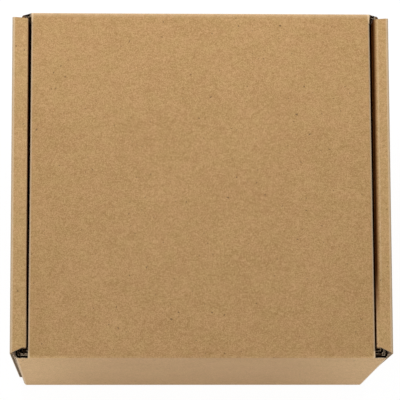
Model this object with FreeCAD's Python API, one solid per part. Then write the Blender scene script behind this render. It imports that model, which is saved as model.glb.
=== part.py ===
import FreeCAD, Part
import math
import os

# Closed roll-end tuck-front box, folded from one die-cut sheet of corrugated board.
# Lengths are millimetres. The front is -Y, up is +Z, the outside of the base is z = 0.

# Driving dimensions
board = 1.5
outer_width = 166.0
overall_depth = 152.7
height = 125.0
rail_setback = 1.95

# Fits between layers of board
slide_gap = 0.3
ear_outer_gap = 0.7
layer_gap = 0.1
lid_gap_front = 0.8
lid_gap_back = 1.3
under_lid_gap = 0.2
slot_gap = 0.3

# Folds, leans and cut corners
fold_radius = 1.2
hinge_round = 0.25
wall_lean = 1.8
strip_front_slope = 2.7
strip_back_slope = 0.4
strip_flat_width = 1.4
inner_end_gap = 1.0
flap_bottom_height = 1.0
flap_corner_cut = 1.4
shoulder_drop = 5.0

# Corner flaps, ears, lid side flaps and locking tabs
corner_flap_reach = 34.0
corner_flap_taper = 8.0
corner_flap_lift = 2.0
ear_reach = 33.0
ear_bottom_height = 12.0
ear_corner_radius = 10.0
dust_flap_drop = 42.0
dust_flap_end_gap = 1.5
dust_flap_slant = 12.0
dust_flap_corner_radius = 6.0
tab_width = 22.0
tab_offset = 36.0
tab_recess = 0.2

# Places worked out from the values above
half_width = outer_width / 2
half_rail = overall_depth / 2 - rail_setback
wall_inside = half_width - board
ear_outside = wall_inside - ear_outer_gap
ear_inside = ear_outside - board
corner_outside = ear_inside - slide_gap
corner_inside = corner_outside - board
inner_outside = corner_inside - layer_gap
inner_inside = inner_outside - board
flap_outside = -overall_depth / 2
flap_inside = flap_outside + board
front_outside = flap_inside + slide_gap
front_inside = front_outside + board
back_outside = overall_depth / 2
back_inside = back_outside - board
lid_front = flap_inside + slide_gap
lid_back = back_inside - board
lid_underside = height - board
shoulder_top = height - shoulder_drop
back_join = shoulder_top - board
wall_top = lid_underside - under_lid_gap
ear_top = wall_top - layer_gap
lid_half_front = inner_inside - lid_gap_front
lid_half_back = inner_inside - lid_gap_back
margin = 2 * board
tiny = 0.000001


def across(u, v):
    """A point in the section seen from the front."""
    return FreeCAD.Vector(u, 0, v)


def along(u, v):
    """A point in the section seen from the side."""
    return FreeCAD.Vector(0, u, v)


def plan(u, v):
    """A point in the plan seen from above."""
    return FreeCAD.Vector(u, v, 0)


def outline(corners, radii=None):
    """A flat face whose corners are sharp, or rounded by the radius given for their place."""
    radii = radii or {}
    starts = []
    ends = []
    for place, corner in enumerate(corners):
        before = corners[place - 1].sub(corner).normalize()
        after = corners[(place + 1) % len(corners)].sub(corner).normalize()
        reach = radii.get(place, 0.0) / math.tan(before.getAngle(after) / 2)
        starts.append(corner + before * reach)
        ends.append(corner + after * reach)
    edges = []
    for place, corner in enumerate(corners):
        radius = radii.get(place, 0.0)
        if radius:
            inward = (starts[place] + ends[place] - corner * 2).normalize()
            half_turn = (starts[place] - corner).getAngle(ends[place] - corner) / 2
            middle = corner + inward * (radius / math.sin(half_turn) - radius)
            edges.append(Part.Arc(starts[place], middle, ends[place]).toShape())
        following = starts[(place + 1) % len(corners)]
        if ends[place].distanceToPoint(following) > tiny:
            edges.append(Part.makeLine(ends[place], following))
    return Part.Face(Part.Wire(edges))


def folded(point, path):
    """The section of one thickness of board whose outer face follows a path of left turns."""
    inner = []
    for place, (u, v) in enumerate(path):
        sides = []
        if place > 0:
            sides.append((u - path[place - 1][0], v - path[place - 1][1]))
        if place < len(path) - 1:
            sides.append((path[place + 1][0] - u, path[place + 1][1] - v))
        shift_u = 0.0
        shift_v = 0.0
        for run_u, run_v in sides:
            length = math.hypot(run_u, run_v)
            shift_u -= board * run_v / length
            shift_v += board * run_u / length
        inner.append((u + shift_u, v + shift_v))
    corners = [point(u, v) for u, v in path + inner[::-1]]
    radii = {place: fold_radius for place in range(1, len(path) - 1)}
    return outline(corners, radii)


def slab(corners, start, thickness, radii=None):
    """A flat outline moved to its start and given a thickness along its own axis."""
    face = outline(corners, radii)
    face.translate(start)
    return face.extrude(thickness)


def mirrored(shape):
    """The same shape on the other side of the box."""
    return shape.mirror(FreeCAD.Vector(0, 0, 0), FreeCAD.Vector(1, 0, 0))


def joined(shapes):
    """One solid from overlapping shapes, with flat faces merged."""
    return shapes[0].multiFuse(shapes[1:]).removeSplitter()


def outer_wall_end_cut():
    """What is cut off the leaning front edge of an outer side wall."""
    corners = [
        along(-half_rail - margin, -margin),
        along(wall_lean - half_rail, -margin),
        along(wall_lean - half_rail, 0),
        along(-half_rail, height - fold_radius),
        along(-half_rail - margin, height - fold_radius),
    ]
    reach = half_width + margin - ear_outside
    return slab(corners, FreeCAD.Vector(ear_outside, 0, 0), FreeCAD.Vector(reach, 0, 0))


def base_end_cut():
    """Relief between the base and the front wall's fold, up to the leaning edge."""
    corners = [
        plan(corner_outside, -half_rail - margin),
        plan(half_width + margin, -half_rail - margin),
        plan(half_width + margin, wall_lean - half_rail),
        plan(corner_outside, wall_lean - half_rail),
    ]
    return slab(corners, FreeCAD.Vector(0, 0, -margin), FreeCAD.Vector(0, 0, margin + board))


def strip_end_cut(end, slope):
    """Sloping cut across one end of a top strip, down to the underside of the strip."""
    side = math.copysign(1, end)
    corners = [
        plan(half_width + margin, end + side * margin),
        plan(half_width, end),
        plan(inner_inside + strip_flat_width, end - side * slope),
        plan(inner_inside - margin, end - side * slope),
        plan(inner_inside - margin, end + side * margin),
    ]
    depth = board + under_lid_gap
    return slab(corners, FreeCAD.Vector(0, 0, height - depth), FreeCAD.Vector(0, 0, depth + margin))


def inner_wall_end_cut(end, limit):
    """What is cut off one end of an inner side wall, below the top strip."""
    side = math.copysign(1, end)
    corners = [
        along(end + side * margin, board),
        along(limit, board),
        along(limit, height + margin),
        along(end + side * margin, height + margin),
    ]
    start = FreeCAD.Vector(inner_inside - margin, 0, 0)
    reach = inner_outside - inner_inside + margin
    return slab(corners, start, FreeCAD.Vector(reach, 0, 0))


def side_roll():
    """Outer wall, top strip and inner wall of the right side, folded over in one piece."""
    section = folded(across, [
        (inner_inside - margin, 0),
        (half_width, 0),
        (half_width, height),
        (inner_inside, height),
        (inner_inside, board + layer_gap),
    ])
    section.translate(FreeCAD.Vector(0, -half_rail, 0))
    roll = section.extrude(FreeCAD.Vector(0, 2 * half_rail, 0))
    cuts = [
        outer_wall_end_cut(),
        base_end_cut(),
        strip_end_cut(-half_rail, strip_front_slope),
        strip_end_cut(half_rail, strip_back_slope),
    ]
    ends = [
        inner_wall_end_cut(-half_rail, front_inside + inner_end_gap),
        inner_wall_end_cut(half_rail, back_inside - inner_end_gap),
    ]
    return roll.cut(cuts).cut(ends)


def locking_tab(centre):
    """Tab on the inner wall's lower edge, standing in a slot of the base."""
    corners = [
        along(centre - tab_width / 2, 2 * board),
        along(centre - tab_width / 2, tab_recess),
        along(centre + tab_width / 2, tab_recess),
        along(centre + tab_width / 2, 2 * board),
    ]
    start = FreeCAD.Vector(inner_inside, 0, 0)
    radii = {1: board / 2, 2: board / 2}
    return slab(corners, start, FreeCAD.Vector(board, 0, 0), radii)


def base_slot(centre):
    """Slot in the base for one locking tab."""
    half = tab_width / 2 + slot_gap
    corners = [
        plan(inner_inside - slot_gap, centre - half),
        plan(inner_outside + slot_gap, centre - half),
        plan(inner_outside + slot_gap, centre + half),
        plan(inner_inside - slot_gap, centre + half),
    ]
    return slab(corners, FreeCAD.Vector(0, 0, -margin), FreeCAD.Vector(0, 0, margin + board))


def end_walls():
    """Front wall, base, back wall and lid in one long folded strip."""
    base_and_front = folded(along, [(0, 0), (-front_outside, 0), (-front_outside, wall_top)])
    front = base_and_front.mirror(FreeCAD.Vector(0, 0, 0), FreeCAD.Vector(0, 1, 0))
    back = folded(along, [(0, 0), (back_outside, 0), (back_outside, back_join)])
    half = corner_outside - fold_radius
    strips = []
    for section in (front, back):
        section.translate(FreeCAD.Vector(-half, 0, 0))
        strips.append(section.extrude(FreeCAD.Vector(2 * half, 0, 0)))
    return strips


def corner_flaps(outside, toward, top):
    """Panel with a flap folded in at each end, seen in plan, standing on the base."""
    face = outside * toward
    reach = face + corner_flap_reach
    section = folded(plan, [(0, face), (corner_outside, face), (corner_outside, reach)])
    if toward < 0:
        section = section.mirror(FreeCAD.Vector(0, 0, 0), FreeCAD.Vector(0, 1, 0))
    section.translate(FreeCAD.Vector(0, 0, corner_flap_lift))
    return section.extrude(FreeCAD.Vector(0, 0, top - corner_flap_lift))


def flap_end_cuts(end, toward, top):
    """Slanted upper and lower corners at the free end of a corner flap."""
    start = FreeCAD.Vector(corner_inside - layer_gap / 2, 0, 0)
    cuts = []
    for level, rise in ((corner_flap_lift, corner_flap_taper), (top, -corner_flap_taper)):
        corners = [
            along(end - toward * 2 * corner_flap_taper, level),
            along(end + toward * margin, level + rise + rise * margin / (2 * corner_flap_taper)),
            along(end + toward * margin, level - rise),
            along(end - toward * 2 * corner_flap_taper, level - rise),
        ]
        cuts.append(slab(corners, start, FreeCAD.Vector(board + layer_gap, 0, 0)))
    return cuts


def cornered_panel(outside, toward, top):
    """A front or back panel of half width with its tapered corner flap."""
    panel = corner_flaps(outside, toward, top)
    return panel.cut(flap_end_cuts(outside + toward * corner_flap_reach, toward, top))


def back_shoulder():
    """Sloping shoulder of the back wall, from the lid's fold down to the upright fold."""
    fold_start = corner_outside - fold_radius
    corners = [
        across(lid_half_back - margin, back_join),
        across(fold_start, back_join),
        across(fold_start, shoulder_top),
        across(lid_half_back, height - fold_radius),
        across(lid_half_back - margin, height - fold_radius),
    ]
    return slab(corners, FreeCAD.Vector(0, back_inside, 0), FreeCAD.Vector(0, board, 0))


def back_and_lid():
    """Upper back wall and the lid's fold, as wide as the lid."""
    section = folded(along, [
        (back_outside, back_join),
        (back_outside, height),
        (lid_back - board, height),
    ])
    section.translate(FreeCAD.Vector(-lid_half_back, 0, 0))
    return section.extrude(FreeCAD.Vector(2 * lid_half_back, 0, 0))


def lid_panel():
    """Flat top of the lid, a little wider at the front than at the back."""
    corners = [
        plan(-lid_half_front + fold_radius, lid_front),
        plan(lid_half_front - fold_radius, lid_front),
        plan(lid_half_back - fold_radius, lid_back),
        plan(-lid_half_back + fold_radius, lid_back),
    ]
    return slab(corners, FreeCAD.Vector(0, 0, lid_underside), FreeCAD.Vector(0, 0, board))


def lid_side_flap():
    """Left side flap of the lid, folded down inside the left side wall."""
    section = folded(across, [
        (-lid_half_front + margin, height),
        (-lid_half_front, height),
        (-lid_half_front, height - dust_flap_drop),
    ])
    section.translate(FreeCAD.Vector(0, lid_front, 0))
    flap = section.extrude(FreeCAD.Vector(lid_half_front - lid_half_back, lid_back - lid_front, 0))
    low = height - dust_flap_drop - margin
    keep_front = front_inside + dust_flap_end_gap
    keep_back = back_inside - dust_flap_end_gap
    kept = slab([
        along(keep_front, height - fold_radius),
        along(keep_front + dust_flap_slant, height - dust_flap_drop),
        along(keep_back - dust_flap_slant, height - dust_flap_drop),
        along(keep_back, height - fold_radius),
    ], FreeCAD.Vector(-half_width, 0, 0), FreeCAD.Vector(half_width, 0, 0),
        {1: dust_flap_corner_radius, 2: dust_flap_corner_radius})
    below = slab([
        along(lid_front - margin, low),
        along(back_outside + margin, low),
        along(back_outside + margin, height - board),
        along(lid_front - margin, height - board),
    ], FreeCAD.Vector(-half_width, 0, 0), FreeCAD.Vector(half_width, 0, 0))
    return flap.cut(below.cut(kept))


def folded_box():
    """The whole sheet except its front flap."""
    right = [
        side_roll(),
        locking_tab(-tab_offset),
        locking_tab(tab_offset),
        cornered_panel(front_outside, 1, wall_top),
        cornered_panel(back_outside, -1, shoulder_top),
        back_shoulder(),
    ]
    base = slab([
        plan(-inner_inside, front_inside),
        plan(inner_inside, front_inside),
        plan(inner_inside, back_inside),
        plan(-inner_inside, back_inside),
    ], FreeCAD.Vector(0, 0, 0), FreeCAD.Vector(0, 0, board))
    slots = [base_slot(-tab_offset), base_slot(tab_offset)]
    slots += [mirrored(slot) for slot in slots]
    tabs = right[1:3]
    boards = [right[0]] + right[3:]
    sheet = boards + [mirrored(shape) for shape in boards]
    sheet += [base] + end_walls() + [back_and_lid(), lid_panel(), lid_side_flap()]
    sheet.append(mirrored(lid_side_flap()))
    body = sheet[0].multiFuse(sheet[1:]).cut(slots)
    return joined([body] + tabs + [mirrored(tab) for tab in tabs])


def front_flap():
    """Front flap with its two side ears, folded from the lid's front edge."""
    crease = slab([
        along(flap_inside, height),
        along(flap_outside, height),
        along(flap_outside, height / 2),
        along(flap_inside, height / 2),
    ], FreeCAD.Vector(-lid_half_front, 0, 0), FreeCAD.Vector(2 * lid_half_front, 0, 0),
        {0: hinge_round, 1: min(fold_radius, board - hinge_round)})
    shapes = [crease]
    face = folded(plan, [
        (0, flap_outside),
        (ear_outside, flap_outside),
        (ear_outside, flap_inside + board),
    ])
    face.translate(FreeCAD.Vector(0, 0, flap_bottom_height))
    panel = face.extrude(FreeCAD.Vector(0, 0, ear_top - flap_bottom_height))
    panel = panel.cut(slab([
        along(flap_inside, -margin),
        along(flap_inside + margin, -margin),
        along(flap_inside + margin, ear_bottom_height),
        along(flap_inside, ear_bottom_height),
    ], FreeCAD.Vector(0, 0, 0), FreeCAD.Vector(half_width, 0, 0)))
    panel = panel.cut(slab([
        across(ear_outside - flap_corner_cut, flap_bottom_height),
        across(ear_outside, flap_bottom_height + flap_corner_cut),
        across(ear_outside + margin, flap_bottom_height + flap_corner_cut),
        across(ear_outside + margin, -margin),
        across(ear_outside - flap_corner_cut, -margin),
    ], FreeCAD.Vector(0, flap_outside - margin, 0), FreeCAD.Vector(0, 2 * margin, 0)))
    ear = slab([
        along(flap_inside, ear_bottom_height),
        along(flap_inside + ear_reach, ear_bottom_height + ear_corner_radius),
        along(flap_inside + ear_reach, ear_top),
        along(flap_inside, ear_top),
    ], FreeCAD.Vector(ear_inside, 0, 0), FreeCAD.Vector(board, 0, 0),
        {1: ear_corner_radius, 2: ear_corner_radius})
    for half in (panel, ear):
        shapes += [half, mirrored(half)]
    return joined(shapes)


os.makedirs("parts", exist_ok=True)
nodes = {"folded_box": folded_box(), "front_flap": front_flap()}
for name, shape in nodes.items():
    print(name, len(shape.Solids), "solid, valid:", shape.isValid(), "volume:", round(shape.Volume, 1))
    shape.exportStep("parts/%s.step" % name)
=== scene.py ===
"""Closed mailing box of corrugated board: kraft liners, fluted core, creases and a plain studio."""

import math
from collections import namedtuple

import bmesh
import bpy
from mathutils import Matrix, Vector


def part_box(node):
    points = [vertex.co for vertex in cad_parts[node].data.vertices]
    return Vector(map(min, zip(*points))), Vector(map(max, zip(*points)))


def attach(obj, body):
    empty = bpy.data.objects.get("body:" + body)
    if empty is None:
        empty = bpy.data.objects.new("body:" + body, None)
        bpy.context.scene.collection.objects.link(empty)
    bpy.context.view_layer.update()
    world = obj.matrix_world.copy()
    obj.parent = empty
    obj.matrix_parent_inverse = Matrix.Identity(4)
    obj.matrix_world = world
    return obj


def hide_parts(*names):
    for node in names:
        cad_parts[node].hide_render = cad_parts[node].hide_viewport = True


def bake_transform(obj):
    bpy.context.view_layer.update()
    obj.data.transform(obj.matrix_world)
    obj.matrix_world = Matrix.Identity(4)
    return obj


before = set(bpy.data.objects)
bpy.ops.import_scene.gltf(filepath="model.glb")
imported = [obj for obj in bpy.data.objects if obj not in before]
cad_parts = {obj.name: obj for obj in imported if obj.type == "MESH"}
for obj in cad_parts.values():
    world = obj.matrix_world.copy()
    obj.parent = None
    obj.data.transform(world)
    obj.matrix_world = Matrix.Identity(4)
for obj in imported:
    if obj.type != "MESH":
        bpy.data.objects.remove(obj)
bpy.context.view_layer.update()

bl_info = {
    "name": "Kraft Mailing Box",
    "version": (1, 0, 0),
    "blender": (4, 5, 0),
    "location": "View3D > Sidebar > Box",
    "description": "Dresses a folded box with kraft liners, a fluted core and a plain studio",
    "category": "Object",
}

LOW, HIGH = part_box("folded_box")
FLAP_LOW, FLAP_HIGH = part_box("front_flap")
MM = 0.001

# Board, and the fits between its layers
BOARD = 1.5 * MM
SLIDE_GAP = 0.3 * MM
LAYER_GAP = 0.1 * MM
UNDER_LID_GAP = 0.2 * MM
LID_GAP_FRONT = 0.8 * MM
LID_GAP_BACK = 1.3 * MM
RAIL_SETBACK = 1.95 * MM
SHOULDER_DROP = 5 * MM

# Places in the folded sheet, as its solids have them
HALF_WIDTH = HIGH.x
HEIGHT = HIGH.z
WALL_INSIDE = HALF_WIDTH - BOARD
EAR_OUTSIDE = FLAP_HIGH.x
EAR_INSIDE = EAR_OUTSIDE - BOARD
CORNER_OUTSIDE = EAR_INSIDE - SLIDE_GAP
CORNER_INSIDE = CORNER_OUTSIDE - BOARD
INNER_OUTSIDE = CORNER_INSIDE - LAYER_GAP
INNER_INSIDE = INNER_OUTSIDE - BOARD
RAIL_END = HIGH.y - RAIL_SETBACK
FLAP_OUTSIDE = FLAP_LOW.y
FLAP_INSIDE = FLAP_OUTSIDE + BOARD
FLAP_BOTTOM = FLAP_LOW.z
EAR_END = FLAP_HIGH.y
FRONT_OUTSIDE = LOW.y
FRONT_INSIDE = FRONT_OUTSIDE + BOARD
BACK_OUTSIDE = HIGH.y
BACK_INSIDE = BACK_OUTSIDE - BOARD
LID_UNDERSIDE = HEIGHT - BOARD
WALL_TOP = LID_UNDERSIDE - UNDER_LID_GAP
EAR_TOP = WALL_TOP - LAYER_GAP
LID_HALF_FRONT = INNER_INSIDE - LID_GAP_FRONT
LID_HALF_BACK = INNER_INSIDE - LID_GAP_BACK
CORNER_FLAP_REACH = 34 * MM
CORNER_FLAP_LIFT = 2 * MM
EAR_BOTTOM = 12 * MM
SHOULDER_TOP = HEIGHT - SHOULDER_DROP
TAB_OFFSET = 36 * MM
TAB_WIDTH = 22 * MM

# How near a hollow comes to a fold, how far it runs out past a cut edge, and the board that it
# leaves at the outside of a fold
FOLD = 0.6 * MM
PAST_EDGE = 0.1 * MM
FOLD_SKIN = 0.75 * MM

# Where the open upper ends of the front flap begin
FLAP_SHOULDER = EAR_TOP - 2 * BOARD

# How deep below a face the marks of its paint still show in full, and where they have gone, on
# top of the box and on the front flap
WHOLE_DEPTH = 0.9 * MM
GONE_DEPTH = 1.6 * MM
FLAP_WHOLE_DEPTH = 0.3 * MM
FLAP_GONE_DEPTH = 0.9 * MM

# Pale wear on a fold: how far its crest lies inside the edge that it is measured from, how far
# the wear reaches from the crest, how far it stays whole, and how strong it is
Wear = namedtuple("Wear", "inset reach whole strength")
WALL_WEAR = Wear(0.4 * MM, 1.4 * MM, 0.2 * MM, 1.1)
STRIP_WEAR = Wear(0.35 * MM, 0.7 * MM, 0.1 * MM, 0.55)
ROUND_WEAR = Wear(2.2 * MM, 0.7 * MM, 0.1 * MM, 0.6)
LID_WEAR = Wear(0.35 * MM, 0.7 * MM, 0.1 * MM, 1.05)
CREASE_WEAR = Wear(0.4 * MM, 0.8 * MM, 0.1 * MM, 0.4)
BACK_WEAR = Wear(0.4 * MM, 3.2 * MM, 0.3 * MM, 0.6)
FLAP_WEAR = Wear(0.4 * MM, 1.1 * MM, 0.2 * MM, 2.4)

# Where the right strip's fold is as tight as the left one's, and from where its painted shade and wear
# make it look rounder
TIGHT_FOLD = -65 * MM
ROUND_FOLD = -35 * MM

# Ends of the gaps beside the lid, before the corner openings, and how far the painted shade of the
# strips' shoulders reaches from the gaps onto the strips
GAP_END = RAIL_END - 1.4 * MM
RIGHT_SHOULDER_SHADE = 1.9 * MM
LEFT_SHOULDER_SHADE = 0.45 * MM

# Where the painted highlight on the flap's face starts on its way to each upright fold, and where it is
# brightest
PALE_FROM = 30 * MM
PALE_TO = 90 * MM

# What each mark, painted highlight and painted shade does to the colour of the kraft paper, channel by
# channel
DARK_FIBRES = (0.76, 0.71, 0.61)
PALE_FIBRES = (1.25, 1.31, 1.46)
GREEN_HUE = (0.982, 1.005, 0.96)
RED_HUE = (1.018, 0.995, 1.015)
# Painted highlight on the flap's face toward its upright folds
FLAP_END_HIGHLIGHT = (1.27, 1.34, 1.42)
PALE_STRIP = (1.08, 1.115, 1.15)
# Painted shade on the strips' shoulders and on the faces in the gaps beside the lid
GAP_SHOULDER_SHADE = (0.09, 0.06, 0.03)
GAP_SHADE = (0.62, 0.36, 0.16)
# Painted shade in the openings at the corners, on kraft, cut edges and core paper
KRAFT_CORNER_SHADE = (0.12, 0.08, 0.05)
EDGE_CORNER_SHADE = (0.05, 0.025, 0.01)
CORE_CORNER_SHADE = (0.08, 0.045, 0.02)
WORN_PAPER = (0.72, 0.53, 0.33)

# How far wear and the painted shade in the corner openings cover the paper where they are strongest
FULL_COVER = 0.85

# How much each noise adds to the kraft paper's tone, and how light its spots are beside it
FIBRE_CONTRAST = 1.15
GRAIN_CONTRAST = 2.15
MOTTLE_CONTRAST = 0.3
PATCH_CONTRAST = 0.22
DARK_SPOT = 0.35
FINE_SPOT = 0.5
PALE_SPOT = 1.65

# Gloss, roughness, fuzz and relief of the papers
PAPER_GLOSS = 0.2
KRAFT_ROUGHNESS = 0.82
ROUGHNESS_SPAN = 0.1
KRAFT_FUZZ = 0.16
FUZZ_ROUGHNESS = 0.5
RAW_ROUGHNESS = 0.95
KRAFT_RELIEF = 0.05 * MM
EDGE_RELIEF = 0.08 * MM
CORE_RELIEF = 0.05 * MM

# Modelling
MERGE_DISTANCE = 0.002 * MM
SMOOTH_ANGLE = math.radians(32)
FLAT_FACE_WEIGHT = 100

# A waved sheet: points in one flute, how far its crests go into the liners, and the turns in
# degrees that lay it into a panel, by the axes of the panel's thickness and of its flutes
STEPS_PER_WAVE = 12
INTO_LINER = 0.01 * MM
TURNS = {
    "XY": (0, 90, 0),
    "XZ": (90, 0, 90),
    "YZ": (90, 0, 0),
    "ZY": (0, 0, 0),
}

# Stage
WHITE = (1.0, 1.0, 1.0, 1.0)
FLOOR_PAPER = (0.9, 0.9, 0.9, 1.0)
FLOOR_BORDER = 3.0
FLOOR_DROP = 0.05 * MM
FLOOR_UNDER_EDGE = 3 * MM
FLOOR_GLOW = 1.05
FLOOR_SHADOW = 0.1
KEY_PLACE = (-0.03, 0.38, 0.44)
KEY_SIZE = 0.4
FILL_PLACE = (-0.12, -0.78, 0.34)
FILL_SIZE = 0.5
CAMERA_AIM = (-0.63 * MM, -7.24 * MM, HEIGHT)
VIEW_END = 20


class BoardSettings(bpy.types.PropertyGroup):
    """Layers of the corrugated board."""

    liner: bpy.props.FloatProperty(
        name="Liner", description="Thickness of each flat paper layer", default=0.24 * MM, unit="LENGTH"
    )
    medium: bpy.props.FloatProperty(
        name="Medium", description="Thickness of the fluted paper", default=0.18 * MM, unit="LENGTH"
    )
    pitch: bpy.props.FloatProperty(
        name="Flute Pitch", description="From one flute to the next", default=3.3 * MM, unit="LENGTH"
    )
    kraft: bpy.props.FloatVectorProperty(
        name="Kraft",
        description="Colour of the liners",
        default=(0.482, 0.287, 0.12),
        size=3,
        subtype="COLOR",
    )
    cut_paper: bpy.props.FloatVectorProperty(
        name="Cut Paper",
        description="Colour of cut edges",
        default=(0.56, 0.44, 0.31),
        size=3,
        subtype="COLOR",
    )
    core_paper: bpy.props.FloatVectorProperty(
        name="Core Paper",
        description="Colour of the flutes",
        default=(0.38, 0.29, 0.2),
        size=3,
        subtype="COLOR",
    )


class StudioSettings(bpy.types.PropertyGroup):
    """Camera, lamps and floor."""

    distance: bpy.props.FloatProperty(
        name="Distance", description="From the camera to the lid", default=1.143, unit="LENGTH"
    )
    tilt: bpy.props.FloatProperty(
        name="Tilt",
        description="Lean of the view from straight down",
        default=math.radians(9.61),
        subtype="ANGLE",
    )
    turn: bpy.props.FloatProperty(
        name="Turn", description="View from the left", default=math.radians(11.41), subtype="ANGLE"
    )
    roll: bpy.props.FloatProperty(
        name="Roll", description="Roll of the camera", default=math.radians(-0.2), subtype="ANGLE"
    )
    lens: bpy.props.FloatProperty(
        name="Lens", description="Focal length for a 36 mm sensor", default=235.8, min=1
    )
    key_power: bpy.props.FloatProperty(
        name="Key", description="Power of the large lamp behind the box", default=2.26, unit="POWER"
    )
    fill_power: bpy.props.FloatProperty(
        name="Fill", description="Power of the soft lamp in front", default=2.7, unit="POWER"
    )
    ambient: bpy.props.FloatProperty(
        name="Ambient", description="Strength of the even light from all round", default=0.35, min=0
    )


class Value:
    """A socket's result in a material, which Python's own operators work on."""

    def __init__(self, paint, socket):
        self.paint = paint
        self.socket = socket

    def math(self, operation, first, second):
        return self.paint.node("ShaderNodeMath", {"operation": operation}, {0: first, 1: second})

    def __add__(self, other):
        return self.math("ADD", self, other)

    __radd__ = __add__

    def __sub__(self, other):
        return self.math("SUBTRACT", self, other)

    def __rsub__(self, other):
        return self.math("SUBTRACT", other, self)

    def __mul__(self, other):
        return self.math("MULTIPLY", self, other)

    __rmul__ = __mul__

    def __abs__(self):
        return self.math("ABSOLUTE", self, 0.0)


class Paint:
    """The node tree of a material or of the world, under construction."""

    def __init__(self, owner):
        owner.use_nodes = True
        self.owner = owner
        self.tree = owner.node_tree
        self.tree.nodes.clear()

    def node(self, kind, settings=None, inputs=None, output=0):
        """Adds a node with its settings, the values or links of its inputs, and gives one output."""
        made = self.tree.nodes.new(kind)
        for name, setting in (settings or {}).items():
            setattr(made, name, setting)
        for name, given in (inputs or {}).items():
            if isinstance(given, Value):
                self.tree.links.new(given.socket, made.inputs[name])
            else:
                made.inputs[name].default_value = given
        return Value(self, made.outputs[output])

    def place(self):
        """Where a point is on the object, in metres."""
        return self.node("ShaderNodeTexCoord", output="Object")

    def axes(self):
        """The three coordinates of a point on the object."""
        split = self.node("ShaderNodeSeparateXYZ", None, {0: self.place()})
        return [Value(self, socket) for socket in split.socket.node.outputs]

    def noise(self, per_metre, detail=2.0, roughness=0.5, stretch=(1, 1, 1), turn=(0, 0, 0)):
        """Noise from 0 to 1 with so many features per metre, stretched along the axes after a turn."""
        turned = tuple(math.radians(angle) for angle in turn)
        spot = self.node(
            "ShaderNodeMapping", None, {"Vector": self.place(), "Rotation": turned, "Scale": stretch}
        )
        return self.node(
            "ShaderNodeTexNoise",
            None,
            {"Vector": spot, "Scale": per_metre, "Detail": detail, "Roughness": roughness},
        )

    def ramp(self, value, low, high):
        """A smooth step from 0 at low to 1 at high, either of which may be the larger."""
        return self.node(
            "ShaderNodeMapRange",
            {"interpolation_type": "SMOOTHSTEP"},
            {"Value": value, "From Min": low, "From Max": high},
        )

    def mix(self, amount, first, second, blend="MIX"):
        """Two colours mixed by an amount."""
        return self.node(
            "ShaderNodeMix",
            {"data_type": "RGBA", "blend_type": blend},
            {0: amount, 6: self.colour(first), 7: self.colour(second)},
            output=2,
        )

    def colour(self, given):
        """A colour as a socket takes it."""
        return given if isinstance(given, Value) else (*given, 1.0)

    def crest(self, distance, wear):
        """The wear of one fold, from the distance to the edge that it is measured from."""
        return self.ramp(abs(distance - wear.inset), wear.reach, wear.whole) * wear.strength

    def bump(self, height, distance):
        """The surface's relief, from a height between 0 and 1."""
        inputs = {"Strength": 1.0, "Distance": distance, "Height": height}
        return self.node("ShaderNodeBump", None, inputs)

    def paper(self, colour, rough, relief, gloss=PAPER_GLOSS, fuzz=0.0):
        """The paper shader, with pale fuzz at low angles."""
        inputs = {"Base Color": colour, "Roughness": rough, "Normal": relief}
        inputs["Specular IOR Level"] = gloss
        inputs["Sheen Weight"] = fuzz
        inputs["Sheen Roughness"] = FUZZ_ROUGHNESS
        return self.node("ShaderNodeBsdfPrincipled", None, inputs)

    def output(self, shader, kind="ShaderNodeOutputMaterial"):
        """Joins a shader to the output."""
        sink = self.tree.nodes.new(kind)
        self.tree.links.new(shader.socket, sink.inputs["Surface"])
        return self.owner


def scaled(colour, amount):
    """A colour made lighter or darker by one factor."""
    return tuple(part * amount for part in colour)


def tinted(colour, factors):
    """A colour with a factor for each of its channels."""
    return tuple(part * factor for part, factor in zip(colour, factors))


def top_faces(paint):
    """1 on the lid, the top strips and the crease, 0 on what lies deeper."""
    up = paint.axes()[2]
    return paint.ramp(up, HEIGHT - GONE_DEPTH, HEIGHT - WHOLE_DEPTH)


def flap_face(paint):
    """1 on the outer face of the front flap, 0 behind it."""
    along = paint.axes()[1]
    return paint.ramp(along, FLAP_OUTSIDE + FLAP_GONE_DEPTH, FLAP_OUTSIDE + FLAP_WHOLE_DEPTH)


def rounder_part(paint):
    """Rises from 0 to 1 from the front toward the part where the right strip's fold is painted rounder.
    """
    along = paint.axes()[1]
    return paint.ramp(along, TIGHT_FOLD, ROUND_FOLD)


def fold_wear(paint):
    """1 on the crushed crests of the folds in view, falling to 0 beside them."""
    across, along, up = paint.axes()
    side = abs(across)
    top = top_faces(paint)
    base = paint.ramp(up, GONE_DEPTH, WHOLE_DEPTH)
    on_flap = flap_face(paint)
    narrowing = (LID_HALF_BACK - LID_HALF_FRONT) / (BACK_INSIDE - FLAP_INSIDE)
    lid_half = LID_HALF_FRONT + (along - FLAP_INSIDE) * narrowing
    on_lid = paint.ramp(side, LID_HALF_FRONT + 0.4 * MM, LID_HALF_FRONT)
    walls = paint.crest(HALF_WIDTH - side, WALL_WEAR) * (top + base)
    strips = paint.crest(side - INNER_INSIDE, STRIP_WEAR) * top
    round_fold = paint.crest(across - INNER_INSIDE, ROUND_WEAR) * top * rounder_part(paint)
    lid_sides = paint.crest(lid_half - side, LID_WEAR) * top
    crease = paint.crest(along - FLAP_OUTSIDE, CREASE_WEAR) * top * on_lid
    back = paint.crest(BACK_OUTSIDE - along, BACK_WEAR) * top * on_lid
    flap_folds = paint.crest(EAR_OUTSIDE - side, FLAP_WEAR) * on_flap
    flap_tops = paint.ramp(up, EAR_TOP - 1.0 * MM, EAR_TOP - 0.2 * MM) * on_flap * (1.0 - on_lid)
    return walls + strips + round_fold + lid_sides + crease + back + flap_folds + flap_tops


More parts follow.
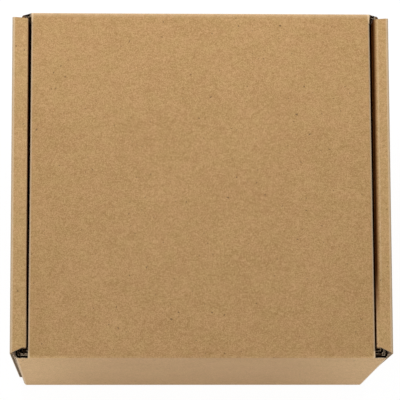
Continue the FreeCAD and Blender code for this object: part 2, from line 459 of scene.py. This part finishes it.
def corner_shade_mask(paint):
    """Painted shade: 1 on the raw upper edges in the openings at the corners, 0 elsewhere."""
    across, along, up = paint.axes()
    side = abs(across)
    beside_lid = paint.ramp(side, LID_HALF_FRONT - 0.3 * MM, LID_HALF_FRONT + 0.1 * MM)
    inside_wall = paint.ramp(side, WALL_INSIDE + 0.1 * MM, WALL_INSIDE - 0.1 * MM)
    near_end = paint.ramp(abs(along), BACK_INSIDE - 4.0 * MM, BACK_INSIDE - 3.0 * MM)
    upper = paint.ramp(up, SHOULDER_TOP - 1.8 * MM, SHOULDER_TOP - 0.8 * MM)
    below_strip = paint.ramp(up, LID_UNDERSIDE + 0.05 * MM, LID_UNDERSIDE - 0.1 * MM)
    return beside_lid * inside_wall * near_end * upper * below_strip


def back_corner_shade_mask(paint):
    """Painted shade: 1 on the paper of the back wall's shoulders, 0 elsewhere."""
    along = paint.axes()[1]
    behind_strip = paint.ramp(along, RAIL_END + 0.1 * MM, RAIL_END + 0.3 * MM)
    return corner_shade_mask(paint) * behind_strip


def gap_sides(paint):
    """Painted shade: 1 on the faces that stand close together beside the lid, 0 elsewhere."""
    across, along, up = paint.axes()
    side = abs(across)
    from_lid = paint.ramp(side, LID_HALF_BACK - 0.15 * MM, LID_HALF_BACK - 0.05 * MM)
    to_wall = paint.ramp(side, INNER_INSIDE + 0.15 * MM, INNER_INSIDE + 0.05 * MM)
    between_ends = paint.ramp(abs(along), GAP_END + 0.2 * MM, GAP_END - 0.2 * MM)
    below_top = paint.ramp(up, HEIGHT - WHOLE_DEPTH, HEIGHT - BOARD)
    above_base = paint.ramp(up, BOARD + 1.0 * MM, BOARD + 2.0 * MM)
    return from_lid * to_wall * between_ends * below_top * above_base


def past_gap(paint, beside):
    """1 from a strip's inner edge outward, by the distance beside that edge, 0 in the gap."""
    return paint.ramp(beside, -0.25 * MM, -0.1 * MM)


def strip_tops(paint):
    """1 on the tops of the two strips beside the lid, 0 elsewhere."""
    side = abs(paint.axes()[0])
    return past_gap(paint, side - INNER_INSIDE) * top_faces(paint)


def gap_shoulder_shade(paint):
    """Painted shade, 1 where a top strip rolls down into the gap beside the lid, falling to 0, wider on
    the right.
    """
    across = paint.axes()[0]
    right = across - INNER_INSIDE
    left = across * -1.0 - INNER_INSIDE
    on_right = paint.ramp(right, RIGHT_SHOULDER_SHADE, 0.1 * MM) * past_gap(paint, right)
    on_left = paint.ramp(left, LEFT_SHOULDER_SHADE, -0.1 * MM) * past_gap(paint, left)
    return (on_right + on_left) * top_faces(paint) * rounder_part(paint)


def flap_end_highlight(paint):
    """Painted highlight: rises from 0 to 1 toward the two upright folds on the flap's face."""
    side = abs(paint.axes()[0])
    return paint.ramp(side, PALE_FROM, PALE_TO) * flap_face(paint)


def kraft_liner(settings):
    """Brown kraft paper: fibres, mottling, specks, faint flute lines, pale folds, painted highlight and
    painted shade.
    """
    paint = Paint(bpy.data.materials.new("kraft_liner"))
    kraft = tuple(settings.kraft)
    fibres_a = paint.noise(1500.0, 2.0, 0.6, stretch=(0.4, 1.0, 1.0), turn=(0, 0, 17))
    fibres_b = paint.noise(1700.0, 2.0, 0.6, stretch=(0.45, 1.0, 1.0), turn=(0, 0, -24))
    fibres_c = paint.noise(1600.0, 2.0, 0.6, stretch=(1.0, 0.45, 0.8), turn=(0, 0, 8))
    fibres = (fibres_a + fibres_b + fibres_c) * 0.3333
    grain = paint.noise(2900.0, 3.0, 0.75)
    mottle = paint.noise(620.0, 3.0, 0.55)
    patches = paint.noise(60.0, 3.0, 0.6)
    tone = (fibres - 0.5) * FIBRE_CONTRAST + (mottle - 0.5) * MOTTLE_CONTRAST
    tone = tone + (grain - 0.5) * GRAIN_CONTRAST + 0.5 + (patches - 0.5) * PATCH_CONTRAST
    dark = tinted(kraft, DARK_FIBRES)
    pale = tinted(kraft, PALE_FIBRES)
    colour = paint.mix(paint.ramp(tone, 0.1, 0.9), dark, pale)

    clouds = paint.noise(16.0, 2.0, 0.5)
    tint = paint.noise(170.0, 2.0, 0.6, stretch=(0.8, 1.0, 1.0)) * 0.75 + clouds * 0.25
    hue = paint.mix(paint.ramp(tint, 0.34, 0.66), GREEN_HUE, RED_HUE)
    colour = paint.mix(1.0, colour, hue, "MULTIPLY")
    # painted highlight: the flap's face lighter toward its upright folds
    colour = paint.mix(flap_end_highlight(paint), colour, FLAP_END_HIGHLIGHT, "MULTIPLY")
    colour = paint.mix(strip_tops(paint), colour, PALE_STRIP, "MULTIPLY")

    dark_spots = paint.ramp(paint.noise(560.0, 1.5, 0.5), 0.715, 0.755)
    fine_spots = paint.ramp(paint.noise(1500.0, 1.0, 0.5), 0.72, 0.79)
    pale_spots = paint.ramp(paint.noise(1250.0, 1.0, 0.5, turn=(40, 30, 70)), 0.735, 0.8)
    colour = paint.mix(dark_spots * 0.8, colour, scaled(kraft, DARK_SPOT))
    colour = paint.mix(fine_spots * 0.5, colour, scaled(kraft, FINE_SPOT))
    colour = paint.mix(pale_spots * 0.5, colour, scaled(kraft, PALE_SPOT))

    patchy = paint.noise(500.0, 3.0, 0.6) * 0.7 + 0.65
    worn = paint.ramp(fold_wear(paint) * patchy, 0.25, 1.1)
    colour = paint.mix(worn * FULL_COVER, colour, WORN_PAPER)
    # painted shade on the back wall's shoulders in the corner openings
    colour = paint.mix(back_corner_shade_mask(paint) * FULL_COVER, colour, tinted(kraft, KRAFT_CORNER_SHADE))
    shoulders = gap_shoulder_shade(paint)
    # painted shade: the strips' shoulders darker where they roll into the gaps beside the lid
    colour = paint.mix(shoulders, colour, GAP_SHOULDER_SHADE, "MULTIPLY")
    # painted shade: darker, warmer paper without sheen on the faces in the gaps beside the lid
    shaded = paint.mix(1.0, colour, GAP_SHADE, "MULTIPLY")

    rough = paint.ramp(tone, 0.0, 1.0) * ROUGHNESS_SPAN + KRAFT_ROUGHNESS
    wave = paint.axes()[0] * (2 * math.pi / settings.pitch)
    flute_lines = paint.node("ShaderNodeMath", {"operation": "SINE"}, {0: wave})
    height = fibres * 0.35 + grain * 0.5 + mottle * 0.15 + flute_lines * 0.05 + patches * 0.25
    relief = paint.bump(height, KRAFT_RELIEF)
    open_face = paint.paper(colour, rough, relief, fuzz=KRAFT_FUZZ)
    gap_face = paint.paper(shaded, rough, relief, gloss=0.0)
    in_gap = gap_sides(paint) + shoulders
    both = paint.node("ShaderNodeMixShader", None, {0: in_gap, 1: open_face, 2: gap_face})
    return paint.output(both)


def cut_edge(settings):
    """The pale, torn fibres of a cut edge, with painted shade in patches in the corner openings."""
    paint = Paint(bpy.data.materials.new("cut_edge"))
    paper = tuple(settings.cut_paper)
    grain = paint.noise(3000.0, 4.0, 0.7)
    spots = paint.noise(1200.0, 2.0, 0.6)
    crushed = paint.ramp(paint.noise(620.0, 2.0, 0.6), 0.42, 0.6)
    colour = paint.mix(paint.ramp(grain, 0.3, 0.7), scaled(paper, 0.74), scaled(paper, 1.22))
    colour = paint.mix(paint.ramp(spots, 0.6, 0.72) * 0.5, colour, scaled(paper, 0.45))
    # painted shade, in patches where the flutes are crushed, on the raw edges in the corner openings
    colour = paint.mix(corner_shade_mask(paint) * crushed, colour, tinted(paper, EDGE_CORNER_SHADE))
    return paint.output(paint.paper(colour, RAW_ROUGHNESS, paint.bump(grain, EDGE_RELIEF)))


def core_paper(settings):
    """The greyer paper of the flutes and of the liners' hidden faces."""
    paint = Paint(bpy.data.materials.new("core_paper"))
    paper = tuple(settings.core_paper)
    grain = paint.noise(1800.0, 4.0, 0.65)
    blotches = paint.noise(350.0, 2.0, 0.5)
    colour = paint.mix(paint.ramp(grain, 0.3, 0.7), scaled(paper, 0.78), scaled(paper, 1.2))
    colour = paint.mix(paint.ramp(blotches, 0.55, 0.75) * 0.3, colour, scaled(paper, 0.7))
    # painted shade on the core paper in the corner openings
    colour = paint.mix(corner_shade_mask(paint) * FULL_COVER, colour, tinted(paper, CORE_CORNER_SHADE))
    return paint.output(paint.paper(colour, RAW_ROUGHNESS, paint.bump(grain, CORE_RELIEF)))


def deselect_all():
    """Object mode with nothing selected."""
    if bpy.context.object and bpy.context.object.mode != "OBJECT":
        bpy.ops.object.mode_set(mode="OBJECT")
    bpy.ops.object.select_all(action="DESELECT")


def choose(*pieces):
    """Selects these pieces alone, the last one active."""
    deselect_all()
    for piece in pieces:
        piece.select_set(True)
    bpy.context.view_layer.objects.active = pieces[-1]


def added(name):
    """The piece that an operator has just added, renamed."""
    piece = bpy.context.object
    piece.name = name
    piece.data.name = name
    return piece


def apply_place(piece):
    """Moves a piece's place, turn and scale into its mesh."""
    choose(piece)
    bpy.ops.object.transform_apply(location=True, rotation=True, scale=True)


def join(pieces, name):
    """Joins pieces into the last of them."""
    choose(*pieces)
    bpy.ops.object.join()
    return added(name)


def combine(piece, other, operation):
    """Cuts a piece by another, or keeps what they share. Cut faces take the other's material."""
    choose(piece)
    step = piece.modifiers.new("combine", "BOOLEAN")
    step.operation = operation
    step.solver = "EXACT"
    step.material_mode = "TRANSFER"
    step.object = other
    bpy.ops.object.modifier_apply(modifier=step.name)


def solid_copy(node, name):
    """A copy of a solid with its corners merged."""
    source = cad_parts[node]
    piece = source.copy()
    piece.data = source.data.copy()
    piece.parent = None
    for key in list(piece.keys()):
        del piece[key]
    bpy.context.scene.collection.objects.link(piece)
    choose(piece)
    added(name)
    piece.data.materials.clear()
    bpy.ops.object.mode_set(mode="EDIT")
    bpy.ops.mesh.select_all(action="SELECT")
    bpy.ops.mesh.remove_doubles(threshold=MERGE_DISTANCE)
    bpy.ops.mesh.normals_make_consistent(inside=False)
    bpy.ops.object.mode_set(mode="OBJECT")
    return piece


def block(low, high, name):
    """A cutting block between two corners."""
    centre = (Vector(low) + Vector(high)) / 2
    bpy.ops.mesh.primitive_cube_add(size=1, location=centre, scale=Vector(high) - Vector(low))
    piece = added(name)
    apply_place(piece)
    return piece


def panel(across, along, up, lay):
    """Both corners of a flat stretch of board, and the axes of its thickness and of its flutes."""
    low, high = zip(across, along, up)
    return low, high, lay


def both_sides(panels):
    """The panels of the right side, and the same ones on the left."""
    left = []
    for low, high, lay in panels:
        left.append(((-high[0], low[1], low[2]), (-low[0], high[1], high[2]), lay))
    return panels + left


def box_panels():
    """The flat part of each panel of the box."""
    rail = (-RAIL_END - PAST_EDGE, RAIL_END + PAST_EDGE)
    inside = (FRONT_INSIDE + FOLD, BACK_INSIDE - FOLD)
    front_reach = (FRONT_INSIDE + FOLD, FRONT_OUTSIDE + CORNER_FLAP_REACH + FOLD)
    back_reach = (BACK_OUTSIDE - CORNER_FLAP_REACH - FOLD, BACK_INSIDE - FOLD)
    corner = (CORNER_INSIDE, CORNER_OUTSIDE)
    between_corners = (FOLD - CORNER_INSIDE, CORNER_INSIDE - FOLD)
    front_height = (BOARD + FOLD, WALL_TOP + PAST_EDGE)
    front_flap_height = (CORNER_FLAP_LIFT - PAST_EDGE, WALL_TOP + PAST_EDGE)
    back_flap_height = (CORNER_FLAP_LIFT - PAST_EDGE, SHOULDER_TOP + PAST_EDGE)
    strip = (INNER_INSIDE + FOLD_SKIN, HALF_WIDTH - FOLD_SKIN)
    lid = (BOARD + FOLD - LID_HALF_BACK, LID_HALF_BACK - BOARD - FOLD)
    right = [
        panel((WALL_INSIDE, HALF_WIDTH), rail, (BOARD + FOLD, LID_UNDERSIDE - FOLD), "XY"),
        panel(strip, rail, (LID_UNDERSIDE, HEIGHT), "ZY"),
        panel((INNER_INSIDE, INNER_OUTSIDE), inside, (BOARD + PAST_EDGE, LID_UNDERSIDE - FOLD), "XY"),
        panel(corner, front_reach, front_flap_height, "XZ"),
        panel(corner, back_reach, back_flap_height, "XZ"),
    ]
    middle = [
        panel((FOLD - WALL_INSIDE, WALL_INSIDE - FOLD), inside, (0, BOARD), "ZY"),
        panel(between_corners, (FRONT_OUTSIDE, FRONT_INSIDE), front_height, "YZ"),
        panel(between_corners, (BACK_INSIDE, BACK_OUTSIDE), (BOARD + FOLD, LID_UNDERSIDE - FOLD), "YZ"),
        panel(lid, (FRONT_INSIDE, BACK_INSIDE - FOLD), (LID_UNDERSIDE, HEIGHT), "ZY"),
    ]
    return both_sides(right) + middle


def tab_panels():
    """The locking tabs of the inner side walls."""
    reach = TAB_WIDTH / 2 + PAST_EDGE
    across = (INNER_INSIDE, INNER_OUTSIDE)
    up = (PAST_EDGE, 2 * BOARD)
    front_tab = panel(across, (-TAB_OFFSET - reach, reach - TAB_OFFSET), up, "XY")
    back_tab = panel(across, (TAB_OFFSET - reach, TAB_OFFSET + reach), up, "XY")
    return both_sides([front_tab, back_tab])


def front_fold_panels():
    """The front wall's hollow carried round its upright folds, as its top edge shows."""
    up = (BOARD + FOLD, WALL_TOP + PAST_EDGE)
    into_fold = (CORNER_INSIDE - FOLD - PAST_EDGE, CORNER_OUTSIDE - FOLD_SKIN)
    return both_sides([panel(into_fold, (FRONT_OUTSIDE, FRONT_INSIDE), up, "YZ")])


def corner_fold_panels():
    """The start of each front corner flap's hollow, behind the fold."""
    up = (CORNER_FLAP_LIFT - PAST_EDGE, WALL_TOP + PAST_EDGE)
    behind = (FRONT_OUTSIDE + FOLD_SKIN, FRONT_INSIDE + FOLD + PAST_EDGE)
    return both_sides([panel((CORNER_INSIDE, CORNER_OUTSIDE), behind, up, "XZ")])


def flap_panels():
    """The front flap's face and its two ears."""
    ear_reach = (FLAP_INSIDE + FOLD, EAR_END + FOLD)
    ear_height = (EAR_BOTTOM - PAST_EDGE, EAR_TOP + PAST_EDGE)
    ear = panel((EAR_INSIDE, EAR_OUTSIDE), ear_reach, ear_height, "XZ")
    face_width = (FOLD - EAR_INSIDE, EAR_INSIDE - FOLD)
    face_height = (FLAP_BOTTOM - PAST_EDGE, FLAP_SHOULDER - PAST_EDGE)
    face = panel(face_width, (FLAP_OUTSIDE, FLAP_INSIDE), face_height, "YZ")
    return both_sides([ear]) + [face]


def shoulder_panels():
    """The open upper ends of the front flap, from beside the crease into the folds."""
    across = (LID_HALF_FRONT + PAST_EDGE, EAR_OUTSIDE - FOLD_SKIN)
    up = (FLAP_SHOULDER, EAR_TOP + PAST_EDGE)
    return both_sides([panel(across, (FLAP_OUTSIDE, FLAP_INSIDE), up, "YZ")])


def ear_fold_panels():
    """The start of each ear's hollow, behind the fold."""
    behind = (FLAP_OUTSIDE + FOLD_SKIN, FLAP_INSIDE + FOLD + PAST_EDGE)
    up = (FLAP_SHOULDER, EAR_TOP + PAST_EDGE)
    return both_sides([panel((EAR_INSIDE, EAR_OUTSIDE), behind, up, "XZ")])


def core_block(stretch, liner):
    """The hollow of one panel, between its two liners."""
    low, high, lay = stretch
    low = list(low)
    high = list(high)
    thin = "XYZ".index(lay[0])
    low[thin] += liner
    high[thin] -= liner
    return block(low, high, "core")


def flute_sheet(stretch, settings):
    """One waved sheet of paper, turned into the middle of its panel."""
    low, high, lay = stretch
    thin = "XYZ".index(lay[0])
    run = "XYZ".index(lay[1])
    across = 3 - thin - run
    width = high[across] - low[across]
    length = high[run] - low[run]
    waves = max(1, round(width / settings.pitch))
    columns = waves * STEPS_PER_WAVE
    bpy.ops.mesh.primitive_grid_add(x_subdivisions=columns, y_subdivisions=1, size=1)
    sheet = added("flutes")
    sheet.scale = (width, length, 1)
    apply_place(sheet)
    rise = (BOARD - settings.medium) / 2 - settings.liner + INTO_LINER
    for step in range(STEPS_PER_WAVE):
        lift = rise * math.sin(2 * math.pi * (step + 0.5) / STEPS_PER_WAVE)
        raise_columns(sheet, step, columns, width, lift)
    thicken(sheet, settings.medium)
    sheet.rotation_euler = tuple(math.radians(angle) for angle in TURNS[lay])
    sheet.location = (Vector(low) + Vector(high)) / 2
    apply_place(sheet)
    return sheet


def raise_columns(sheet, step, columns, width, lift):
    """Moves every column of points at one step of the wave."""
    bpy.ops.object.mode_set(mode="EDIT")
    shape = bmesh.from_edit_mesh(sheet.data)
    for point in shape.verts:
        column = round((point.co.x / width + 0.5) * columns)
        point.select_set(column % STEPS_PER_WAVE == step)
    shape.select_flush_mode()
    bmesh.update_edit_mesh(sheet.data)
    bpy.ops.transform.translate(value=(0, 0, lift))
    bpy.ops.object.mode_set(mode="OBJECT")


def thicken(piece, thickness, offset=0.0):
    """Gives a sheet its thickness."""
    choose(piece)
    step = piece.modifiers.new("thickness", "SOLIDIFY")
    step.thickness = thickness
    step.offset = offset
    step.use_even_offset = True
    bpy.ops.object.modifier_apply(modifier=step.name)


def mark_cut_edges(piece):
    """Gives the narrow faces beside the hollows the look of cut paper."""
    names = [material.name for material in piece.data.materials]
    core = names.index("core_paper")
    edge = names.index("cut_edge")
    bpy.ops.object.mode_set(mode="EDIT")
    shape = bmesh.from_edit_mesh(piece.data)
    for face in shape.faces:
        beside = any(near.material_index == core for line in face.edges for near in line.link_faces)
        face.select_set(face.material_index != core and beside)
    bmesh.update_edit_mesh(piece.data)
    piece.active_material_index = edge
    bpy.ops.object.material_slot_assign()
    bpy.ops.object.mode_set(mode="OBJECT")


def smooth(piece):
    """Smooth shading over the rounded folds, with the flat panels kept flat."""
    choose(piece)
    bpy.ops.object.shade_smooth_by_angle(angle=SMOOTH_ANGLE)
    step = piece.modifiers.new("flat_panels", "WEIGHTED_NORMAL")
    step.keep_sharp = True
    step.weight = FLAT_FACE_WEIGHT
    bpy.ops.object.modifier_apply(modifier=step.name)


def hollow(piece, groups, settings):
    """Opens the hollow between the liners of every panel, one group after another."""
    for group in groups:
        cutter = join([core_block(stretch, settings.liner) for stretch in group], "hollows")
        cutter.data.materials.append(bpy.data.materials["core_paper"])
        combine(piece, cutter, "DIFFERENCE")
        bpy.data.objects.remove(cutter)


def dress(node, body, groups, name, settings):
    """The liners of one solid, and the flutes of its first group of panels."""
    whole = solid_copy(node, "trim")
    flutes = join([flute_sheet(stretch, settings) for stretch in groups[0]], name + "_flutes")
    flutes.data.materials.append(bpy.data.materials["core_paper"])
    combine(flutes, whole, "INTERSECT")
    flutes.data.materials.clear()
    flutes.data.materials.append(bpy.data.materials["core_paper"])
    bpy.data.objects.remove(whole)
    liners = solid_copy(node, name + "_liners")
    liners.data.materials.append(bpy.data.materials["kraft_liner"])
    liners.data.materials.append(bpy.data.materials["cut_edge"])
    liners.data.materials.append(bpy.data.materials["core_paper"])
    hollow(liners, groups, settings)
    mark_cut_edges(liners)
    for piece in (liners, flutes):
        smooth(piece)
        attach(piece, body)
        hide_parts(node)


class BOX_OT_papers(bpy.types.Operator):
    """Make the paper finishes: kraft liner, cut edge and core paper"""

    bl_idname = "box.papers"
    bl_label = "Papers"

    def execute(self, context):
        settings = context.scene.board_settings
        for finish in (kraft_liner, cut_edge, core_paper):
            finish(settings)
        return {"FINISHED"}


class BOX_OT_folded_box(bpy.types.Operator):
    """Dress the folded box with liners and flutes"""

    bl_idname = "box.folded_box"
    bl_label = "Folded Box"

    def execute(self, context):
        settings = context.scene.board_settings
        groups = (box_panels(), tab_panels() + front_fold_panels(), corner_fold_panels())
        dress("folded_box", "box", groups, "box", settings)
        return {"FINISHED"}


class BOX_OT_front_flap(bpy.types.Operator):
    """Dress the front flap and its ears with liners and flutes"""

    bl_idname = "box.front_flap"
    bl_label = "Front Flap"

    def execute(self, context):
        settings = context.scene.board_settings
        groups = (flap_panels(), shoulder_panels(), ear_fold_panels())
        dress("front_flap", "flap", groups, "flap", settings)
        return {"FINISHED"}


class BOX_OT_lid_crease(bpy.types.Operator):
    """Lay the outer liner across the crease between lid and front flap"""

    bl_idname = "box.lid_crease"
    bl_label = "Lid Crease"

    def execute(self, context):
        proud = 0.015 * MM
        near = 0.01 * MM
        thickness = 0.04 * MM
        drop = 2.4 * MM
        rounding = 1.2 * MM
        width = 2 * (LID_HALF_FRONT - 0.05 * MM)
        top = HEIGHT + proud
        back = FRONT_INSIDE - 0.4 * MM
        front = FLAP_OUTSIDE - proud
        bpy.ops.mesh.primitive_plane_add(size=1, location=(0, (back + front) / 2, top))
        strip = added("lid_crease")
        strip.scale = (width, back - front, 1)
        apply_place(strip)
        bpy.ops.object.mode_set(mode="EDIT")
        shape = bmesh.from_edit_mesh(strip.data)
        for line in shape.edges:
            line.select_set(all(abs(point.co.y - front) < near for point in line.verts))
        bmesh.update_edit_mesh(strip.data)
        bpy.ops.mesh.extrude_region_move(TRANSFORM_OT_translate={"value": (0, 0, -drop)})
        shape = bmesh.from_edit_mesh(strip.data)
        for line in shape.edges:
            at_front = all(abs(point.co.y - front) < near for point in line.verts)
            at_top = all(abs(point.co.z - top) < near for point in line.verts)
            line.select_set(at_front and at_top)
        bmesh.update_edit_mesh(strip.data)
        bpy.ops.mesh.bevel(offset=rounding, offset_type="OFFSET", segments=8, profile=0.5)
        bpy.ops.mesh.select_all(action="SELECT")
        bpy.ops.mesh.normals_make_consistent(inside=False)
        bpy.ops.object.mode_set(mode="OBJECT")
        thicken(strip, thickness, -1.0)
        strip.data.materials.append(bpy.data.materials["kraft_liner"])
        smooth(strip)
        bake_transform(strip)
        return {"FINISHED"}


class BOX_OT_studio(bpy.types.Operator):
    """Set up the floor, the lamps and the camera"""

    bl_idname = "box.studio"
    bl_label = "Studio"

    def execute(self, context):
        settings = context.scene.studio_settings
        make_floor()
        make_world(settings.ambient)
        make_lamp("key_lamp", KEY_PLACE, KEY_SIZE, settings.key_power)
        make_lamp("fill_lamp", FILL_PLACE, FILL_SIZE, settings.fill_power)
        make_camera(settings)
        context.scene.view_settings.view_transform = "Standard"
        return {"FINISHED"}


def make_floor():
    """A plain white floor that keeps a soft shadow, open under the box so that its base can be seen."""
    opening_width = 2 * (HALF_WIDTH - FLOOR_UNDER_EDGE)
    opening_depth = 2 * (BACK_OUTSIDE - FLOOR_UNDER_EDGE)
    deselect_all()
    bpy.ops.mesh.primitive_plane_add(size=1, location=(0, 0, -FLOOR_DROP))
    floor = added("floor")
    floor.scale = (opening_width + 2 * FLOOR_BORDER, opening_depth + 2 * FLOOR_BORDER, 1)
    apply_place(floor)
    bpy.ops.object.mode_set(mode="EDIT")
    bpy.ops.mesh.select_all(action="SELECT")
    bpy.ops.mesh.inset(thickness=FLOOR_BORDER, depth=0)
    bpy.ops.mesh.delete(type="FACE")
    bpy.ops.object.mode_set(mode="OBJECT")
    paint = Paint(bpy.data.materials.new("floor"))
    matte = paint.node("ShaderNodeBsdfDiffuse", None, {"Color": FLOOR_PAPER})
    white = paint.node("ShaderNodeEmission", None, {"Color": WHITE, "Strength": FLOOR_GLOW})
    seen = paint.node("ShaderNodeLightPath", output="Is Camera Ray")
    glow = seen * (1 - FLOOR_SHADOW)
    mixed = paint.node("ShaderNodeMixShader", None, {0: glow, 1: matte, 2: white})
    floor.data.materials.append(paint.output(mixed))


def make_world(ambient):
    """Even light from all round, and plain white where it is seen."""
    world = bpy.data.worlds.new("studio")
    bpy.context.scene.world = world
    paint = Paint(world)
    light = paint.node("ShaderNodeBackground", None, {"Color": WHITE, "Strength": ambient})
    white = paint.node("ShaderNodeBackground", None, {"Color": WHITE, "Strength": 1.0})
    seen = paint.node("ShaderNodeLightPath", output="Is Camera Ray")
    mixed = paint.node("ShaderNodeMixShader", None, {0: seen, 1: light, 2: white})
    paint.output(mixed, "ShaderNodeOutputWorld")


def make_lamp(name, place, size, power):
    """A square area lamp that faces the middle of the box."""
    deselect_all()
    bpy.ops.object.light_add(type="AREA", location=place)
    lamp = bpy.context.object
    lamp.name = name
    lamp.data.shape = "SQUARE"
    lamp.data.size = size
    lamp.data.energy = power
    toward = Vector((0, 0, HEIGHT)) - Vector(place)
    lamp.rotation_euler = toward.to_track_quat("-Z", "Y").to_euler()


def make_camera(settings):
    """The camera above the lid, leaning to the front and a little to the left."""
    lean = math.sin(settings.tilt)
    back = Vector((
        -lean * math.sin(settings.turn),
        -lean * math.cos(settings.turn),
        math.cos(settings.tilt),
    ))
    aim = Vector(CAMERA_AIM)
    right = Vector((0, 1, 0)).cross(back).normalized()
    up = back.cross(right)
    level = math.cos(settings.roll)
    twist = math.sin(settings.roll)
    turned_right = right * level + up * twist
    turned_up = up * level - right * twist
    deselect_all()
    bpy.ops.object.camera_add(location=aim + back * settings.distance)
    camera = bpy.context.object
    camera.name = "camera"
    columns = Matrix((turned_right, turned_up, back))
    camera.rotation_euler = columns.transposed().to_euler()
    camera.data.lens = settings.lens
    camera.data.clip_end = VIEW_END
    bpy.context.scene.camera = camera


class BOX_PT_panel(bpy.types.Panel):
    """The box's operators and settings in the sidebar"""

    bl_idname = "BOX_PT_panel"
    bl_label = "Kraft Mailing Box"
    bl_space_type = "VIEW_3D"
    bl_region_type = "UI"
    bl_category = "Box"

    def draw(self, context):
        for operator in OPERATORS:
            self.layout.operator(operator.bl_idname)
        for settings in (context.scene.board_settings, context.scene.studio_settings):
            for name in settings.bl_rna.properties.keys():
                if name not in ("rna_type", "name"):
                    self.layout.prop(settings, name)


OPERATORS = (BOX_OT_papers, BOX_OT_folded_box, BOX_OT_front_flap, BOX_OT_lid_crease, BOX_OT_studio)
CLASSES = (BoardSettings, StudioSettings) + OPERATORS + (BOX_PT_panel,)


def register():
    """Adds the classes and their settings to Blender."""
    for kind in CLASSES:
        bpy.utils.register_class(kind)
    bpy.types.Scene.board_settings = bpy.props.PointerProperty(type=BoardSettings)
    bpy.types.Scene.studio_settings = bpy.props.PointerProperty(type=StudioSettings)


def unregister():
    """Takes the classes and their settings out of Blender."""
    del bpy.types.Scene.studio_settings
    del bpy.types.Scene.board_settings
    for kind in reversed(CLASSES):
        bpy.utils.unregister_class(kind)


def main():
    """Makes the whole scene."""
    register()
    bpy.ops.box.papers()
    bpy.ops.box.folded_box()
    bpy.ops.box.front_flap()
    bpy.ops.box.lid_crease()
    bpy.ops.box.studio()


if __name__ == "__main__":
    main()
